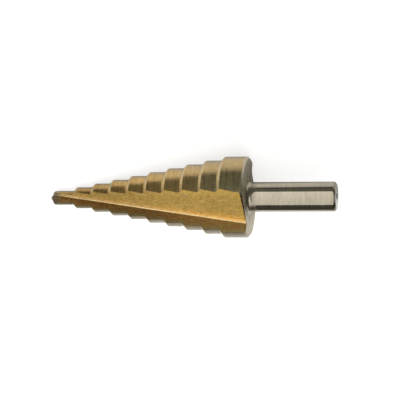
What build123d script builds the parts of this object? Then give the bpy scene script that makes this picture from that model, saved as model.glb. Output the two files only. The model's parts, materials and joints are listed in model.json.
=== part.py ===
from build123d import *
import os
from math import acos, cos, degrees, radians, sin, sqrt, tan

# Step drill for sheet metal: ten diameters from 4 to 22 mm, two straight V-flutes, and an 8 mm
# shank with three flats for a drill chuck. It is one ground bar. It is drawn along its own axis,
# +Z, with the tip of the point at the origin, and then laid down as it comes to rest: on the
# corners beside one flute, with the other flute facing up. Lengths are in millimetres.

# Stepped cone
smallest_diameter = 4.0
diameter_rise = 2.0            # from one step to the next
step_count = 10
step_pitch = 5.2               # from one shoulder to the next
pilot_length = 6.4             # from the tip of the point to the foot of the first shoulder
collar_length = 7.4            # from the foot of the last shoulder to the rear face
corner_radius = 0.15           # at the crest and the foot of each shoulder
rear_bevel = 0.5

# Relief: behind its cutting edge each land drops away, because its own axis is off the drill's
relief_offset = 0.45
relief_lead = 18.0             # degrees by which that offset leads the rake face
parting_angle = -35.0          # degrees from the rake face, between the lands, inside a flute

# Point
point_angle = 118.0
point_clearance = 12.0         # degrees by which each flank falls away behind its lip

# V-flutes, two of them, half a turn apart
web_thickness = 1.0            # between the two rake faces
flute_angle = 115.0            # between the rake face and the wide wall
root_angle = 9.15              # degrees at which the root leaves the axis towards the rear
root_crossing = 4.8            # where the root passes beside the axis
root_radius = 0.4

# Shank
shank_diameter = 8.0
shank_length = 23.6
shank_fillet = 1.0             # against the collar's rear face
end_chamfer = 0.6
chamfer_crown = 3.0            # radius of the slight crown that deburring leaves on the chamfer
flat_count = 3
flat_distance = 3.58           # from the drill's axis
flat_angle = -56.0             # degrees of the first flat from the rake face
flat_start = 2.6               # behind the rear face, where a flat reaches its full depth
run_out_radius = 3.0           # of the grinding wheel's edge

# Centre hole in the end of the shank
centre_mouth_diameter = 2.12
centre_cone_angle = 60.0
centre_drill_diameter = 1.0
centre_drill_depth = 1.9

# Derived places
shoulder_height = diameter_rise / 2
smallest_radius = smallest_diameter / 2
largest_radius = smallest_radius + (step_count - 1) * shoulder_height
last_foot = pilot_length + (step_count - 2) * step_pitch
rear_face = last_foot + collar_length
overall_length = rear_face + shank_length
shank_radius = shank_diameter / 2
land_axis = Vector(relief_offset, 0, 0).rotate(Axis.Z, -relief_lead)
land_reduction = relief_offset * cos(radians(relief_lead))
margin = 2.0                   # by which a cutting tool reaches past what it cuts


def stepped_cone():
    """The step profile turned about its own axis, with a 45 degree shoulder at each rise."""
    outline = [(0, -margin), (smallest_radius - land_reduction, -margin)]
    for step in range(step_count - 1):
        foot_radius = smallest_radius + step * shoulder_height - land_reduction
        foot = pilot_length + step * step_pitch
        outline.append((foot_radius, foot))
        outline.append((foot_radius + shoulder_height, foot + shoulder_height))
    collar_radius = largest_radius - land_reduction
    outline.append((collar_radius, rear_face - rear_bevel))
    outline.append((collar_radius - rear_bevel, rear_face))
    outline.append((0, rear_face))
    profile = make_face(Polyline(*outline, close=True))
    crests_and_feet = profile.vertices().filter_by_position(
        Axis.Y, pilot_length, last_foot + shoulder_height
    )
    profile = fillet(crests_and_feet, corner_radius)
    return revolve(Plane.XZ * profile, Axis.Z)


def land():
    """One half of the cutting part, its surface eccentric so that it clears behind its edge."""
    turned = Pos(land_axis) * stepped_cone()
    parting = Plane((0, 0, 0), x_dir=(0, 0, 1), z_dir=Vector(0, 1, 0).rotate(Axis.Z, parting_angle))
    return split(turned, bisect_by=parting, keep=Keep.TOP)


def flank(turn):
    """The plane of one flank of the point: it holds the lip's slope and falls away behind it."""
    along_lip = Vector(1, 0, 1 / tan(radians(point_angle / 2))).rotate(Axis.Z, turn)
    behind_lip = Vector(0, 1, tan(radians(point_clearance))).rotate(Axis.Z, turn)
    return Plane((0, 0, 0), x_dir=along_lip, z_dir=along_lip.cross(behind_lip))


def root_offset(height):
    """How far along the rake face the flute's root lies at this height."""
    return tan(radians(root_angle)) * (height - root_crossing)


def flute():
    """The V that one flute cuts: a straight prism that leaves the axis towards the rear."""
    reach = 2 * largest_radius + margin
    start = -2 * margin
    travel = (rear_face + margin - start) / cos(radians(root_angle))
    root = Vector(root_offset(start), -web_thickness / 2)
    rake_end = root + Vector(reach, 0)
    wall_end = root + Vector(reach, 0).rotate(Axis.Z, -flute_angle)
    section = make_face(Polyline(root, rake_end, wall_end, close=True))
    section = fillet(section.vertices().sort_by_distance(root)[0], root_radius)
    slope = (sin(radians(root_angle)), 0, cos(radians(root_angle)))
    return extrude(Pos(0, 0, start) * section, travel, dir=slope)


def shank():
    """The round shank, from inside the collar to its chamfered end."""
    seat_radius = shank_radius + 2 * shank_fillet
    sides = Polyline(
        (shank_radius - end_chamfer, overall_length),
        (0, overall_length),
        (0, rear_face - margin),
        (seat_radius, rear_face - margin),
        (seat_radius, rear_face),
        (shank_radius, rear_face),
        (shank_radius, overall_length - end_chamfer),
    )
    chamfer_edge = RadiusArc(sides @ 1, sides @ 0, -chamfer_crown)
    profile = make_face(sides + chamfer_edge)
    inner_corner = profile.vertices().sort_by_distance((shank_radius, rear_face))[0]
    profile = fillet(inner_corner, shank_fillet)
    return revolve(Plane.XZ * profile, Axis.Z)


def flat_cutter():
    """What the grinding wheel takes off the shank for the first flat, with its curved run-out."""
    outer = shank_radius + shank_fillet
    full_depth = rear_face + flat_start
    past_end = overall_length + margin
    sweep = degrees(acos(1 - (outer - flat_distance) / run_out_radius))
    run_out = CenterArc((flat_distance + run_out_radius, full_depth), run_out_radius, 180, sweep)
    sides = Polyline(run_out @ 1, (outer, past_end), (flat_distance, past_end), run_out @ 0)
    section = make_face(run_out + sides)
    return Rot(Z=flat_angle) * extrude(Plane.XZ * section, shank_radius, both=True)


def centre_hole():
    """The 60 degree centre hole that the bar was held by while it was turned."""
    mouth_radius = centre_mouth_diameter / 2
    drill_radius = centre_drill_diameter / 2
    cone_depth = (mouth_radius - drill_radius) / tan(radians(centre_cone_angle / 2))
    drill_tip = drill_radius / tan(radians(point_angle / 2))
    profile = make_face(
        Polyline(
            (0, overall_length),
            (mouth_radius, overall_length),
            (drill_radius, overall_length - cone_depth),
            (drill_radius, overall_length - centre_drill_depth),
            (0, overall_length - centre_drill_depth - drill_tip),
            close=True,
        )
    )
    return revolve(Plane.XZ * profile, Axis.Z)


def upright_drill():
    """The whole drill on its own axis."""
    half_turn = Rot(Z=180)
    body = land() + half_turn * land()
    for turn in (0, 180):
        body = split(body, bisect_by=flank(turn), keep=Keep.TOP)
    body = body - flute() - half_turn * flute()
    body = body + shank()
    for index in range(flat_count):
        body = body - Rot(Z=index * 360 / flat_count) * flat_cutter()
    return body - centre_hole()


def cutting_corner(radius, height):
    """The second land's cutting edge at this radius."""
    return Vector(-sqrt(radius**2 - (web_thickness / 2) ** 2), web_thickness / 2, height)


def heel_corner(radius, height):
    """Where the second flute's wide wall meets the back of the first land."""
    root = Vector(-root_offset(height), web_thickness / 2, height)
    wall = Vector(1, 0, 0).rotate(Axis.Z, 180 - flute_angle)
    to_root = root - Vector(land_axis.X, land_axis.Y, height)
    along = to_root.dot(wall)
    land_radius = radius - land_reduction
    return root + wall * (-along + sqrt(along**2 - to_root.dot(to_root) + land_radius**2))


def resting_plane():
    """The surface that the drill lies on: it touches the point and the corners of the collar."""
    lip_end = cutting_corner(smallest_radius, smallest_radius / tan(radians(point_angle / 2)))
    collar_front = last_foot + shoulder_height
    edge = cutting_corner(largest_radius, collar_front)
    heel = heel_corner(largest_radius, collar_front)
    upward = (edge - lip_end).cross(heel - edge)
    if upward.dot(Vector(0, 0, overall_length / 2) - edge) < 0:
        upward = -upward
    return Plane(edge, x_dir=(0, 0, 1), z_dir=upward)


def laid_down(upright):
    """The drill lying on its surface, with the origin under the middle of its outline."""
    lying = resting_plane().to_local_coords(upright)
    box = lying.bounding_box()
    return Pos(-box.center().X, -box.center().Y, -box.min.Z) * lying


os.makedirs("parts", exist_ok=True)
drill = laid_down(upright_drill())
print("solids", len(drill.solids()), "volume", round(drill.volume, 1), "overall", overall_length)
export_step(drill, "parts/step_drill.step")
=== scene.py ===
import json
from math import cos, radians, sin, tan

import bpy
from mathutils import Matrix, Quaternion, Vector

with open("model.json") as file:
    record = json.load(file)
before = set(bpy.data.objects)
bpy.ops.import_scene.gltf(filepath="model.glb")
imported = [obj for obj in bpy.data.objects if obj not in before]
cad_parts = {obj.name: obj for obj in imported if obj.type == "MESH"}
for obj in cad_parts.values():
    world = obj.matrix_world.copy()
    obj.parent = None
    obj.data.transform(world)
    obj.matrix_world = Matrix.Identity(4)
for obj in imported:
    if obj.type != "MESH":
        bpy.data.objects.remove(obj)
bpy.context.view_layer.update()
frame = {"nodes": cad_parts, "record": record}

bl_info = {
    "name": "Step drill finish",
    "version": (1, 0, 0),
    "blender": (4, 5, 0),
    "location": "View3D > Sidebar > Step Drill",
    "description": "Coats and grinds a step drill and sets it on a studio floor",
    "category": "Object",
}

NODE = "step_drill"
MOUNTS = {mount["name"]: mount for mount in frame["record"]["mounts"]}
MM = 0.001

# How the drill lies in the frame, worked out from the shank and its first flat
SHANK_MIDDLE_FROM_TIP = 68.2 * MM
FLAT_TO_RAKE_FACE = radians(56)
ALONG = Vector(MOUNTS["shank"]["axis"]).normalized()
TIP = Vector(MOUNTS["shank"]["pos_m"]) - ALONG * SHANK_MIDDLE_FROM_TIP
RAKE = Quaternion(ALONG, FLAT_TO_RAKE_FACE) @ Vector(MOUNTS["shank_flat_1"]["axis"]).normalized()
BEHIND = ALONG.cross(RAKE)

HAIR = 0.01 * MM                    # by which a mask stays off an edge, or takes in a surface
LAST_SHOULDER = 8.0                 # the collar's own, counted from 0
MEAN_NOISE = 0.5                    # what the noise patterns average to
SPOT_STRETCH = 5 / 3                # how much longer spots are along the drill than across it

# The softboxes: direction from the drill, width and height, and tint
KEY_DIRECTION, KEY_SIZE = (-0.1, -0.26, 1.0), (1.33, 1.33)
SIDE_DIRECTION, SIDE_SIZE = (-0.55, -0.70, 0.50), (0.3, 0.3)
FILL_DIRECTION, FILL_SIZE, FILL_TINT = (-0.2, 0.85, 0.5), (0.95, 0.95), (0.97, 1, 0.88)
SOFTBOX_DISTANCE = 0.9
FLOOR_WIDTH = 6.0
ROOM_TINT = (1, 1, 0.86, 1)


class DrillSizes(bpy.types.PropertyGroup):
    """Sizes of the drill's faces and of the marks that grinding left on them."""

    step_pitch: bpy.props.FloatProperty(
        name="Step pitch", description="From one shoulder to the next",
        default=5.2 * MM, unit="LENGTH",
    )
    pilot_length: bpy.props.FloatProperty(
        name="Pilot length", description="From the tip to the foot of the first shoulder",
        default=6.4 * MM, unit="LENGTH",
    )
    step_rise: bpy.props.FloatProperty(
        name="Step rise", description="By which the radius grows at each shoulder",
        default=1.0 * MM, unit="LENGTH",
    )
    smallest_radius: bpy.props.FloatProperty(
        name="Smallest radius", description="Radius of the first step",
        default=2.0 * MM, unit="LENGTH",
    )
    rear_face: bpy.props.FloatProperty(
        name="Rear face", description="From the tip to the collar's rear face",
        default=55.4 * MM, unit="LENGTH",
    )
    overall: bpy.props.FloatProperty(
        name="Overall length", description="From the tip to the end of the shank",
        default=79 * MM, unit="LENGTH",
    )
    rear_bevel: bpy.props.FloatProperty(
        name="Rear bevel", description="Width of the bevel round the rear face",
        default=0.5 * MM, unit="LENGTH",
    )
    web: bpy.props.FloatProperty(
        name="Web", description="Thickness of steel between the two rake faces",
        default=1.0 * MM, unit="LENGTH",
    )
    flute_angle: bpy.props.FloatProperty(
        name="Flute angle", description="Between a flute's rake face and its wide wall",
        default=radians(115), subtype="ANGLE",
    )
    root_angle: bpy.props.FloatProperty(
        name="Root angle", description="At which a flute's root leaves the axis",
        default=radians(9.15), subtype="ANGLE",
    )
    root_crossing: bpy.props.FloatProperty(
        name="Root crossing", description="From the tip to where a root passes beside the axis",
        default=4.8 * MM, unit="LENGTH",
    )
    flat_distance: bpy.props.FloatProperty(
        name="Flat distance", description="From the axis to each flat of the shank",
        default=3.58 * MM, unit="LENGTH",
    )
    grain_pitch: bpy.props.FloatProperty(
        name="Grain pitch", description="Spacing of the grinding lines along the flutes",
        default=0.14 * MM, unit="LENGTH",
    )
    turning_pitch: bpy.props.FloatProperty(
        name="Turning pitch", description="Spacing of the turning marks round the drill",
        default=0.16 * MM, unit="LENGTH",
    )
    mark_depth: bpy.props.FloatProperty(
        name="Mark depth", description="Depth of the grinding and turning marks",
        default=0.006 * MM, unit="LENGTH", precision=6,
    )


class DrillColours(bpy.types.PropertyGroup):
    """Colours of the coating and of the bare steel, and of painted shade and highlights on them.
    """

    wall_gold: bpy.props.FloatVectorProperty(
        name="Wall gold", description="Coating on the flutes' wide walls", subtype="COLOR",
        default=(0.735, 0.477, 0.132), min=0, max=1,
    )
    # The rake faces' browning towards the point is painted shade
    rake_gold: bpy.props.FloatVectorProperty(
        name="Rake gold", description="Coating on the rake faces, browned by chips",
        subtype="COLOR", default=(0.98, 0.585, 0.22), min=0, max=1,
    )
    # Coating on the rake faces by the point, darker and redder: painted shade
    shaded_rake_gold: bpy.props.FloatVectorProperty(
        name="Burnt gold", description="Coating on the rake faces by the point, burnt by use",
        subtype="COLOR", default=(0.95, 0.49, 0.15), min=0, max=1,
    )
    step_gold: bpy.props.FloatVectorProperty(
        name="Step gold", description="Coating on the small steps", subtype="COLOR",
        default=(0.67, 0.43, 0.16), min=0, max=1,
    )
    collar_gold: bpy.props.FloatVectorProperty(
        name="Collar gold", description="Coating on the collar, duller than on the steps",
        subtype="COLOR", default=(0.56, 0.41, 0.20), min=0, max=1,
    )
    olive_gold: bpy.props.FloatVectorProperty(
        name="Olive gold", description="Coating towards the heels of the widest steps",
        subtype="COLOR", default=(0.55, 0.47, 0.27), min=0, max=1,
    )
    # Grey coating: wear at the tip, and behind the cutting edges both wear and painted shade
    worn_and_shaded_gold: bpy.props.FloatVectorProperty(
        name="Worn gold", description="Thin coating behind the cutting edges", subtype="COLOR",
        default=(0.36, 0.318, 0.232), min=0, max=1,
    )
    # Bright coating: wear on corners, and painted highlights in the flutes' roots, along the
    # walls' heels, the rake faces' edges and the shoulders
    wear_and_highlight_gold: bpy.props.FloatVectorProperty(
        name="Rubbed gold", description="Bright coating on corners and in the flutes' roots",
        subtype="COLOR", default=(0.92, 0.74, 0.40), min=0, max=1,
    )
    stain: bpy.props.FloatVectorProperty(
        name="Stain", description="Greyer patches on the wide walls",
        subtype="COLOR", default=(0.56, 0.39, 0.16), min=0, max=1,
    )
    steel: bpy.props.FloatVectorProperty(
        name="Steel", description="Bare ground steel", subtype="COLOR",
        default=(0.46, 0.412, 0.315), min=0, max=1,
    )
    # Dark brown of painted shade: a line where the coating ends in the flutes, and patches on the
    # rear face round the fillet
    scale: bpy.props.FloatVectorProperty(
        name="Scale", description="Dark brown line where the coating ends in the flutes",
        subtype="COLOR", default=(0.10, 0.07, 0.045), min=0, max=1,
    )


class StudioSettings(bpy.types.PropertyGroup):
    """The camera, the lamps, the floor and the room."""

    toward_camera: bpy.props.FloatVectorProperty(
        name="Toward camera", description="Direction from the drill to the camera",
        default=(0.0844, 0.3562, 0.9306), subtype="DIRECTION",
    )
    picture_up: bpy.props.FloatVectorProperty(
        name="Picture up", description="Direction that is upright in the picture",
        default=(0.0514, 0.9311, -0.3611), subtype="DIRECTION",
    )
    roll: bpy.props.FloatProperty(
        name="Roll", description="Turn of the picture, clockwise", default=radians(-0.29),
        subtype="ANGLE",
    )
    distance: bpy.props.FloatProperty(
        name="Distance", description="From the aim point to the camera", default=0.417,
        unit="LENGTH",
    )
    aim: bpy.props.FloatProperty(
        name="Aim", description="Aim point on the drill's axis, from the tip",
        default=40 * MM, unit="LENGTH",
    )
    lens: bpy.props.FloatProperty(
        name="Lens", description="Focal length on a 36 mm wide sensor", default=138.7,
        unit="CAMERA",
    )
    shift: bpy.props.FloatVectorProperty(
        name="Shift", description="Sideways and upward shift of the lens, in picture widths",
        size=2, default=(0.0169, -0.0068),
    )
    floor_colour: bpy.props.FloatVectorProperty(
        name="Floor", description="Colour of the floor", subtype="COLOR",
        default=(0.86, 0.86, 0.86), min=0, max=1,
    )
    key_power: bpy.props.FloatProperty(
        name="Key", description="Power of the softbox overhead", default=5.9, unit="POWER",
    )
    side_power: bpy.props.FloatProperty(
        name="Side", description="Power of the small softbox in front of the flute", default=0.21,
        unit="POWER",
    )
    fill_power: bpy.props.FloatProperty(
        name="Fill", description="Power of the low softbox behind the drill", default=0.27,
        unit="POWER",
    )
    surroundings: bpy.props.FloatProperty(
        name="Surroundings", description="Brightness of the room as the metal sees it",
        default=0.08, min=0.0,
    )
    backdrop: bpy.props.FloatProperty(
        name="Backdrop", description="How pale the room looks to the camera alone",
        default=0.82, min=0.0,
    )


class Field:
    """A shader value that Python's operators work on. Each operation adds its Math node."""

    def __init__(self, tree, socket=None):
        self.tree = tree
        self.socket = socket

    def node(self, kind, settings, inputs):
        """Adds a node, sets it up, then fills its sockets with values or links."""
        made = self.tree.nodes.new(kind)
        for name, value in settings.items():
            setattr(made, name, value)
        for name, value in inputs.items():
            if isinstance(value, Field):
                self.tree.links.new(value.socket, made.inputs[name])
            else:
                made.inputs[name].default_value = value
        return made

    def field(self, kind, settings, inputs, output=0):
        """Adds a node and gives one of its outputs."""
        return Field(self.tree, self.node(kind, settings, inputs).outputs[output])

    def math(self, operation, *values):
        """This value and the others through one Math node."""
        values = (self, *values)
        return self.field("ShaderNodeMath", {"operation": operation}, dict(enumerate(values)))

    def vector(self, operation, *values, output=0):
        """This vector and the others through one Vector Math node."""
        inputs = dict(enumerate((self, *values)))
        return self.field("ShaderNodeVectorMath", {"operation": operation}, inputs, output)

    def __add__(self, other):
        return self.math("ADD", other)

    __radd__ = __add__

    def __sub__(self, other):
        return self.math("SUBTRACT", other)

    def __rsub__(self, other):
        return self.field("ShaderNodeMath", {"operation": "SUBTRACT"}, {0: other, 1: self})

    def __mul__(self, other):
        return self.math("MULTIPLY", other)

    __rmul__ = __mul__

    def __truediv__(self, other):
        return self.math("DIVIDE", other)

    def __abs__(self):
        return self.math("ABSOLUTE")

    def __lt__(self, other):
        return self.math("LESS_THAN", other)

    def __gt__(self, other):
        return self.math("GREATER_THAN", other)

    def __or__(self, other):
        """The union of two masks."""
        return self.math("MAXIMUM", other)

    def dot(self, direction):
        """The part of a vector along a fixed direction."""
        return self.vector("DOT_PRODUCT", tuple(direction), output="Value")

    def tinted(self, factor):
        """A colour made lighter or darker by a factor."""
        inputs = {0: self, "Scale": factor}
        return self.field("ShaderNodeVectorMath", {"operation": "SCALE"}, inputs)

    def fade(self, low, high, at_low=0.0, at_high=1.0):
        """A smooth change from one value to another as this one goes from low to high."""
        settings = {"interpolation_type": "SMOOTHSTEP"}
        ends = {"From Min": low, "From Max": high, "To Min": at_low, "To Max": at_high}
        return self.field("ShaderNodeMapRange", settings, {"Value": self, **ends})

    def blend(self, first, second):
        """A colour that goes from the first to the second as this mask goes from 0 to 1."""
        settings = {"data_type": "RGBA"}
        inputs = {"Factor": self, 6: first, 7: second}
        return self.field("ShaderNodeMix", settings, inputs, output=2)


def opaque(colour):
    """A colour with its alpha, as sockets take it."""
    return (*colour, 1)


def emptied_tree(owner):
    """The node tree of a material or a world, with nothing in it."""
    owner.use_nodes = True
    owner.node_tree.nodes.clear()
    return owner.node_tree


class DrillSpace:
    """Where a shaded point lies on the drill: along it, across it, and on which face."""

    def __init__(self, tree, sizes):
        start = Field(tree)
        self.sizes = sizes
        self.place = start.field("ShaderNodeTexCoord", {}, {}, output="Object")
        self.normal = start.field("ShaderNodeNewGeometry", {}, {}, output="Normal")
        self.from_tip = self.place.vector("SUBTRACT", tuple(TIP))
        self.along = self.from_tip.dot(ALONG)
        self.across = self.from_tip.dot(RAKE)
        self.behind = self.from_tip.dot(BEHIND)
        self.radius = (self.across * self.across + self.behind * self.behind).math("SQRT")
        self.find_faces()

    def pattern(self, along, across, behind, pitch, detail=2.0):
        """Noise over the three given lengths, from 0 to 1, with features of this pitch."""
        inputs = {0: along, 1: across, 2: behind}
        point = self.place.field("ShaderNodeCombineXYZ", {}, inputs)
        inputs = {"Vector": point, "Scale": 1 / pitch, "Detail": detail, "Roughness": 0.6}
        return self.place.field("ShaderNodeTexNoise", {"noise_dimensions": "3D"}, inputs)

    def lengthwise(self, pitch, stretch, detail=2.0):
        """Marks that are this many times longer along the drill than across it."""
        along = self.along * (1 / stretch)
        return self.pattern(along, self.across, self.behind, pitch, detail)

    def ringwise(self, pitch, stretch):
        """Turning marks that run round the drill."""
        round_it = 1 / stretch
        return self.pattern(
            self.along + self.radius, self.across * round_it, self.behind * round_it, pitch
        )

    def behind_edge(self):
        """Angle from a land's cutting edge backwards over that land."""
        turn = self.behind.math("ARCTAN2", self.across)
        return turn.math("WRAP", radians(160), radians(-20))

    def last_shoulder(self):
        """Number of the last shoulder passed: 0 is the first one, and -1 lies before it."""
        from_first = (self.along - self.sizes.pilot_length) / self.sizes.step_pitch
        return from_first.math("FLOOR").math("MINIMUM", LAST_SHOULDER)

    def step_offset(self):
        """From the foot of the last shoulder passed to the shaded point."""
        sizes = self.sizes
        return self.along - sizes.pilot_length - self.last_shoulder() * sizes.step_pitch

    def below_land(self):
        """How far inside the land's full radius the shaded point lies."""
        sizes = self.sizes
        shoulder = self.step_offset().math("MINIMUM", sizes.step_rise)
        height = (self.last_shoulder() * sizes.step_rise + shoulder).math("MAXIMUM", 0.0)
        return height + sizes.smallest_radius - self.radius

    def flute_walls(self, turn):
        """The wide wall and the rake face of one flute as masks, and the height up the wall."""
        tolerance = 4 * HAIR
        root_reach = 0.45 * MM
        across = self.across * turn
        behind = self.behind * turn
        root = (self.along - self.sizes.root_crossing) * tan(self.sizes.root_angle)
        from_root = across - root
        below_rake = behind + self.sizes.web / 2
        tilt = self.sizes.flute_angle - radians(90)
        off_wall = from_root * cos(tilt) - below_rake * sin(tilt)
        up_wall = from_root * -sin(tilt) - below_rake * cos(tilt)
        wide_wall = (abs(off_wall) < tolerance) * (up_wall > 0)
        rake_face = (abs(below_rake) < tolerance) * (from_root > 0)
        in_root = (abs(off_wall) + abs(below_rake) < root_reach) * (off_wall > -tolerance)
        return wide_wall | in_root, rake_face, up_wall * wide_wall

    def find_faces(self):
        """Works out the masks of the walls, the rake faces, the flats and the bare steel."""
        sizes = self.sizes
        half_up_fillet = 4.6 * MM
        first, second = self.flute_walls(1), self.flute_walls(-1)
        in_cut = self.along < sizes.rear_face - HAIR
        self.wall = (first[0] | second[0]) * in_cut
        self.rake = (first[1] | second[1]) * in_cut
        self.up_wall = first[2] | second[2]
        self.flute = self.wall | self.rake
        self.to_edge = self.below_land()
        near_rear = self.along > sizes.rear_face - sizes.rear_bevel * 1.1
        past_rear = self.along > sizes.rear_face + 2 * HAIR
        rear_faces = (self.normal.dot(ALONG) > 0.5) * near_rear
        self.bare = rear_faces | past_rear
        self.rear = rear_faces * (self.radius > half_up_fillet)
        leans = [self.flat_leaning(index) for index in (1, 2, 3)]
        self.flat_lean = (leans[0] + leans[1] + leans[2]) * past_rear

    def flat_leaning(self, index):
        """From -1 to 1 across one of the shank's flats, and 0 elsewhere."""
        half_width = 1.78 * MM
        outward = Vector(MOUNTS[f"shank_flat_{index}"]["axis"])
        on_flat = abs(self.from_tip.dot(outward) - self.sizes.flat_distance) < 2 * HAIR
        return self.from_tip.dot(ALONG.cross(outward)) * (1 / half_width) * on_flat


class DrillMarks:
    """What turning, grinding and handling left on the drill, each from 0 to 1."""

    def __init__(self, space):
        sizes = space.sizes
        line_stretch, streak_stretch, band_stretch = 40, 5, 12
        on_land = 1 - space.flute
        grain = space.lengthwise(sizes.grain_pitch, line_stretch)
        turned = space.ringwise(sizes.turning_pitch, line_stretch)
        self.fine = space.flute * grain + on_land * turned
        streaks = space.lengthwise(0.45 * MM, streak_stretch)
        bands = space.ringwise(0.6 * MM, band_stretch)
        self.broad = space.flute * streaks + on_land * bands
        self.specks = space.lengthwise(0.42 * MM, SPOT_STRETCH, detail=1.0)
        self.clouds = space.lengthwise(4 * MM, 1)


def land_colour(space, colours):
    """The steps: duller to the collar, olive by the heels, grey behind the edges from wear and
    painted shade, darker towards the point as painted shade, and brighter round each shoulder
    from wear and a painted highlight.
    """
    near_collar = space.along.fade(20 * MM, 52 * MM)
    steps = near_collar.blend(opaque(colours.step_gold), opaque(colours.collar_gold))
    near_heel = space.behind_edge().fade(radians(65), radians(95), 0.0, 0.9)
    olive = near_heel * space.along.fade(40 * MM, 50 * MM)
    steps = olive.blend(steps, opaque(colours.olive_gold))
    # Grey behind the cutting edges: partly worn coating, partly painted shade
    wear_and_shade_behind_edges = space.behind_edge().fade(radians(18), radians(62), 0.85, 0.0)
    steps = wear_and_shade_behind_edges.blend(steps, opaque(colours.worn_and_shaded_gold))
    # Darker towards the point: painted shade
    painted_shade_by_point = space.along.fade(4 * MM, 36 * MM, 0.68, 1.0)
    steps = steps.tinted(painted_shade_by_point)
    # A bright band round each shoulder: partly wear, partly painted highlight
    middle_of_shoulder = 0.6 * MM
    shoulder = abs(space.step_offset() - middle_of_shoulder).fade(0.45 * MM, 0.62 * MM, 0.55, 0.0)
    return shoulder.blend(steps, opaque(colours.wear_and_highlight_gold))


def wall_colour(space, colours):
    """A flute's wide wall: stained, with painted highlights along its root and its heel, partly
    wear at the heel, and painted shade towards the point.
    """
    stains = space.lengthwise(2.6 * MM, SPOT_STRETCH).fade(0.56, 0.70, 0.0, 0.55)
    walls = stains.blend(opaque(colours.wall_gold), opaque(colours.stain))
    # Brighter along the root and the heel: painted highlights, partly wear at the heel
    painted_root_highlight = space.up_wall.fade(0.1 * MM, 1.3 * MM, 0.8, 0.0)
    heel_highlight_and_wear = space.to_edge.fade(0.05 * MM, 0.7 * MM, 0.6, 0.0)
    walls = (painted_root_highlight | heel_highlight_and_wear).blend(walls, opaque(colours.wear_and_highlight_gold))
    painted_heel_highlight = space.to_edge.fade(0.0, 0.1 * MM + space.along * 0.06, 1.25, 1.0)
    painted_root_light = space.up_wall.fade(0.1 * MM, 2.2 * MM, 1.1, 1.0)
    # Darker towards the point: painted shade
    painted_wall_shade = space.along.fade(12 * MM, 40 * MM, 0.84, 1.0)
    return walls.tinted(painted_heel_highlight * painted_root_light * painted_wall_shade)


def rake_colour(space, colours):
    """A rake face: redder and darker towards the point as painted shade, with a painted highlight
    and, by the collar, a painted shadow along its edge.
    """
    # Redder and darker towards the point: painted shade
    front = space.along.fade(12 * MM, 36 * MM, 1.0, 0.0)
    rakes = front.blend(opaque(colours.rake_gold), opaque(colours.shaded_rake_gold))
    # A light line just inside the edge: painted highlight
    painted_edge_highlight = space.to_edge.fade(0.1 * MM, 0.6 * MM + space.along * 0.022, 0.9, 0.0)
    rakes = painted_edge_highlight.blend(rakes, opaque(colours.wear_and_highlight_gold))
    # Darker towards the point, and a dark line along the edge by the collar: painted shade and a
    # painted shadow
    browned = space.along.fade(26 * MM, 53 * MM, 0.66, 1.08)
    by_collar = space.along.fade(38 * MM, 48 * MM)
    shadow_line = space.to_edge.fade(0.1 * MM, 0.22 * MM, 0.35, 0.0) * by_collar
    return rakes.tinted(browned * (1 - shadow_line))


def coated_colour(space, colours):
    """Gold nitride, worn grey at the tip, and a dark brown line of painted shade where it ends in
    the flutes.
    """
    coating = space.wall.blend(land_colour(space, colours), wall_colour(space, colours))
    coating = space.rake.blend(coating, rake_colour(space, colours))
    tip = space.along.fade(1.0 * MM, 3.4 * MM, 0.8, 0.0)
    coating = tip.blend(coating, opaque(colours.worn_and_shaded_gold))
    # A dark brown line where the coating ends in the flutes: painted shade
    end_line = space.sizes.rear_face - 0.1 * MM - space.up_wall * 0.07
    return (space.wall * (space.along > end_line)).blend(coating, opaque(colours.scale))


def bare_colour(space, colours):
    """Ground steel, with dark patches of painted shade on the rear face round the fillet."""
    # Dark patches round the fillet: painted shade
    patches = space.lengthwise(1.7 * MM, 1, detail=1.0).fade(0.40, 0.62)
    by_fillet = space.radius.fade(5.0 * MM, 7.6 * MM, 0.6, 0.0)
    return (patches * by_fillet * space.rear).blend(opaque(colours.steel), opaque(colours.scale))


def metal_shade(space, marks):
    """How much lighter or darker the metal is, for its marks, and from place to place as painted
    shade and light.
    """
    mark_strength, cloud_strength = 0.25, 0.25
    chamfer_length, chamfer_radius = 0.58 * MM, 3.44 * MM
    shade = 1 + (marks.broad - MEAN_NOISE) * (0.8 - space.bare * 0.5 - space.flute * 0.2)
    shade = shade + (marks.specks - MEAN_NOISE) * (0.6 - space.flute * 0.6 - space.bare * 0.4)
    shade = shade + (marks.fine - MEAN_NOISE) * mark_strength
    shade = shade + (marks.clouds - MEAN_NOISE) * cloud_strength
    # The chamfer at the shank's end darker: painted shade
    chamfer = space.along > space.sizes.overall - chamfer_length
    chamfer = chamfer * (space.radius > chamfer_radius)
    # Darker at the point, and lighter on its rake faces there: painted shade and light
    point = space.along.fade(0.8 * MM, 4.5 * MM, 0.28, 0.0) * (1 - space.rake * 1.6)
    # Lighter on the rear face, and darker towards one side of each flat: painted light and shade
    return shade * (1 - point - chamfer * 0.45 + space.rear * 0.36 - space.flat_lean * 0.11)


def flute_grit(space, marks):
    """Fine specks in the flutes, nearly grey, added to the gold."""
    red, green, blue = 0.52, 0.49, 0.28
    specks = (marks.specks - MEAN_NOISE) * space.flute
    inputs = {0: specks * red, 1: specks * green, 2: specks * blue}
    return specks.field("ShaderNodeCombineXYZ", {}, inputs)


def metal_roughness(space, marks):
    """Smooth on the shank, rougher on the coating, and roughest on the rear face."""
    rear_face = space.sizes.rear_face
    run_out = space.along.fade(rear_face + 2.0 * MM, rear_face + 3.0 * MM, 0.2, 0.0)
    ground = 0.30 + space.flute * 0.06 - space.bare * 0.19 + space.rear * 0.15
    ground = ground + run_out * space.bare
    uneven = (marks.fine - MEAN_NOISE) * 0.14 + (marks.broad - MEAN_NOISE) * 0.12
    return ground + uneven + (marks.clouds - MEAN_NOISE) * 0.10


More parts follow.
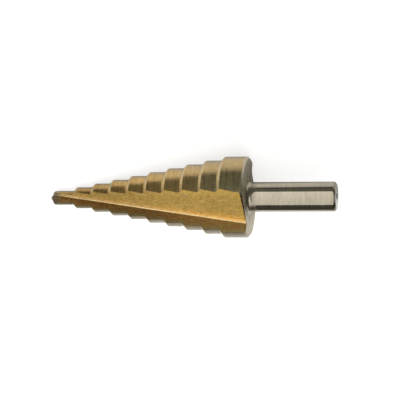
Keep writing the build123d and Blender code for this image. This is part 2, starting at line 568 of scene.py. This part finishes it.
def mark_bump(space, marks):
    """The marks' own relief, deepest on the rear face."""
    height = marks.fine * (1 + space.rear * 4) + marks.broad * (1 - space.bare) * 1.5
    inputs = {"Height": height, "Distance": space.sizes.mark_depth, "Strength": 1.0}
    return height.field("ShaderNodeBump", {}, inputs)


def ground_bar_material(sizes, colours):
    """Ground steel, gold-coated from the point to the collar and bare behind it."""
    material = bpy.data.materials.new("ground_bar")
    space = DrillSpace(emptied_tree(material), sizes)
    marks = DrillMarks(space)
    colour = space.bare.blend(coated_colour(space, colours), bare_colour(space, colours))
    colour = colour.tinted(metal_shade(space, marks)).vector("ADD", flute_grit(space, marks))
    inputs = {
        "Base Color": colour,
        "Metallic": 1.0,
        "Roughness": metal_roughness(space, marks),
        "Normal": mark_bump(space, marks),
    }
    surface = colour.field("ShaderNodeBsdfPrincipled", {}, inputs)
    surface.node("ShaderNodeOutputMaterial", {}, {"Surface": surface})
    return material


def floor_material(settings):
    """A pale floor that the camera sees as nearly white, with the drill's soft shadow on it.

    The drill's metal sees it darker: grey away from the drill, and lit up only close beside it,
    round a painted shadow of the drill.
    """
    near_glow, far_glow, mirrored_glow = 0.72, 0.74, 0.45
    grey = (0.2, 0.2, 0.2, 1)
    along_share = 0.35              # distances along the drill count this much
    widest, widest_at, taper, narrowest = 11 * MM, 12 * MM, 0.16, 3 * MM
    material = bpy.data.materials.new("studio_floor")
    start = Field(emptied_tree(material))
    seen = start.field("ShaderNodeLightPath", {}, {}, output="Is Camera Ray")
    mirrored = start.field("ShaderNodeLightPath", {}, {}, output="Is Glossy Ray")
    through = start.field("ShaderNodeLightPath", {}, {}, output="Is Transmission Ray")
    place = start.field("ShaderNodeTexCoord", {}, {}, output="Object")
    reach = place.vector("LENGTH", output="Value")
    beside = place.vector("MULTIPLY", (along_share, 1, 1)).vector("LENGTH", output="Value")
    dim = beside.fade(22 * MM, 100 * MM)
    # The glow that the metal sees is cut away under the drill: a painted shadow
    from_widest = abs(place.dot((1, 0, 0)) - widest_at)
    half_width = (widest - from_widest * taper).math("MAXIMUM", narrowest)
    outside_painted_shadow = (abs(place.dot((0, 1, 0))) / half_width).fade(0.5, 1.3)
    shown = seen * reach.fade(90 * MM, 400 * MM, near_glow, far_glow)
    shown = shown + (mirrored + through) * (1 - dim) * outside_painted_shadow * mirrored_glow
    glow = shown.blend((0, 0, 0, 1), (1, 1, 1, 1))
    pale = start.field("ShaderNodeBsdfDiffuse", {}, {"Color": opaque(settings.floor_colour)})
    dark = start.field("ShaderNodeBsdfDiffuse", {}, {"Color": grey})
    matt = start.field("ShaderNodeMixShader", {}, {0: mirrored * dim, 1: pale, 2: dark})
    lifted = start.field("ShaderNodeEmission", {}, {"Color": glow, "Strength": 1.0})
    surface = start.field("ShaderNodeAddShader", {}, {0: matt, 1: lifted})
    start.node("ShaderNodeOutputMaterial", {}, {"Surface": surface})
    return material


class STEPDRILL_OT_finish_bar(bpy.types.Operator):
    """Gives the ground bar its coating, its bare steel and its grinding marks"""

    bl_idname = "stepdrill.finish_bar"
    bl_label = "Finish Bar"

    def execute(self, context):
        scene = context.scene
        bar = frame["nodes"][NODE]
        bar.data.materials.clear()
        bar.data.materials.append(ground_bar_material(scene.drill_sizes, scene.drill_colours))
        return {"FINISHED"}


class STEPDRILL_OT_set_stage(bpy.types.Operator):
    """Adds the floor, the softboxes, the room and the camera"""

    bl_idname = "stepdrill.set_stage"
    bl_label = "Set Stage"

    def execute(self, context):
        settings = context.scene.drill_studio
        add_floor(settings)
        add_softbox("softbox_key", KEY_DIRECTION, KEY_SIZE, settings.key_power)
        add_softbox("softbox_side", SIDE_DIRECTION, SIDE_SIZE, settings.side_power)
        add_softbox("softbox_fill", FILL_DIRECTION, FILL_SIZE, settings.fill_power, FILL_TINT)
        set_surroundings(context.scene, settings)
        add_camera(context.scene, settings)
        return {"FINISHED"}


def add_floor(settings):
    """A square floor under the drill, with the origin in its middle."""
    half = FLOOR_WIDTH / 2
    mesh = bpy.data.meshes.new("floor")
    corners = [(-half, -half, 0), (half, -half, 0), (half, half, 0), (-half, half, 0)]
    mesh.from_pydata(corners, [], [(0, 1, 2, 3)])
    floor = bpy.data.objects.new("floor", mesh)
    floor.data.materials.append(floor_material(settings))
    bpy.context.scene.collection.objects.link(floor)


def add_softbox(name, direction, size, power, tint=(1, 1, 1)):
    """An area lamp that faces the drill from this direction."""
    direction = Vector(direction)
    lamp = bpy.data.lights.new(name, "AREA")
    lamp.shape = "RECTANGLE"
    lamp.size, lamp.size_y = size
    lamp.energy = power
    lamp.color = tint
    holder = bpy.data.objects.new(name, lamp)
    holder.location = direction.normalized() * SOFTBOX_DISTANCE
    holder.rotation_euler = direction.to_track_quat("Z", "Y").to_euler()
    holder.visible_camera = False
    bpy.context.scene.collection.objects.link(holder)


def set_surroundings(scene, settings):
    """A dim room. The camera alone sees it as a pale backdrop: the metal mirrors it dim."""
    scene.world = bpy.data.worlds.new("studio")
    start = Field(emptied_tree(scene.world))
    seen = start.field("ShaderNodeLightPath", {}, {}, output="Is Camera Ray")
    strength = seen * settings.backdrop | settings.surroundings
    colour = seen.blend(ROOM_TINT, (1, 1, 1, 1))
    room = start.field("ShaderNodeBackground", {}, {"Color": colour, "Strength": strength})
    start.node("ShaderNodeOutputWorld", {}, {"Surface": room})


def add_camera(scene, settings):
    """The camera, turned so that its own axes are right, up and back."""
    data = bpy.data.cameras.new("camera")
    data.lens = settings.lens
    data.sensor_width = 36.0
    data.shift_x, data.shift_y = settings.shift
    data.clip_start = 0.01
    data.clip_end = 20.0
    camera = bpy.data.objects.new("camera", data)
    back = Vector(settings.toward_camera).normalized()
    right = Vector(settings.picture_up).cross(back).normalized()
    up = back.cross(right)
    place = Matrix.Translation(TIP + ALONG * settings.aim + back * settings.distance)
    turned = Matrix((right, up, back)).transposed().to_4x4()
    camera.matrix_world = place @ turned @ Matrix.Rotation(settings.roll, 4, "Z")
    scene.collection.objects.link(camera)
    scene.camera = camera
    scene.view_settings.view_transform = "Standard"


class STEPDRILL_PT_panel(bpy.types.Panel):
    """Sidebar panel with the drill's operators, sizes, colours and studio"""

    bl_idname = "STEPDRILL_PT_panel"
    bl_label = "Step Drill"
    bl_space_type = "VIEW_3D"
    bl_region_type = "UI"
    bl_category = "Step Drill"

    def draw(self, context):
        layout = self.layout
        scene = context.scene
        for operator in OPERATORS:
            layout.operator(operator.bl_idname)
        for group in (scene.drill_sizes, scene.drill_colours, scene.drill_studio):
            box = layout.box()
            for name in group.bl_rna.properties.keys():
                if name not in ("rna_type", "name"):
                    box.prop(group, name)


OPERATORS = (STEPDRILL_OT_finish_bar, STEPDRILL_OT_set_stage)
CLASSES = (DrillSizes, DrillColours, StudioSettings, *OPERATORS, STEPDRILL_PT_panel)


def register():
    for cls in CLASSES:
        bpy.utils.register_class(cls)
    bpy.types.Scene.drill_sizes = bpy.props.PointerProperty(type=DrillSizes)
    bpy.types.Scene.drill_colours = bpy.props.PointerProperty(type=DrillColours)
    bpy.types.Scene.drill_studio = bpy.props.PointerProperty(type=StudioSettings)


def unregister():
    del bpy.types.Scene.drill_studio
    del bpy.types.Scene.drill_colours
    del bpy.types.Scene.drill_sizes
    for cls in reversed(CLASSES):
        bpy.utils.unregister_class(cls)


def main():
    register()
    bpy.ops.stepdrill.finish_bar()
    bpy.ops.stepdrill.set_stage()


if __name__ == "__main__":
    main()
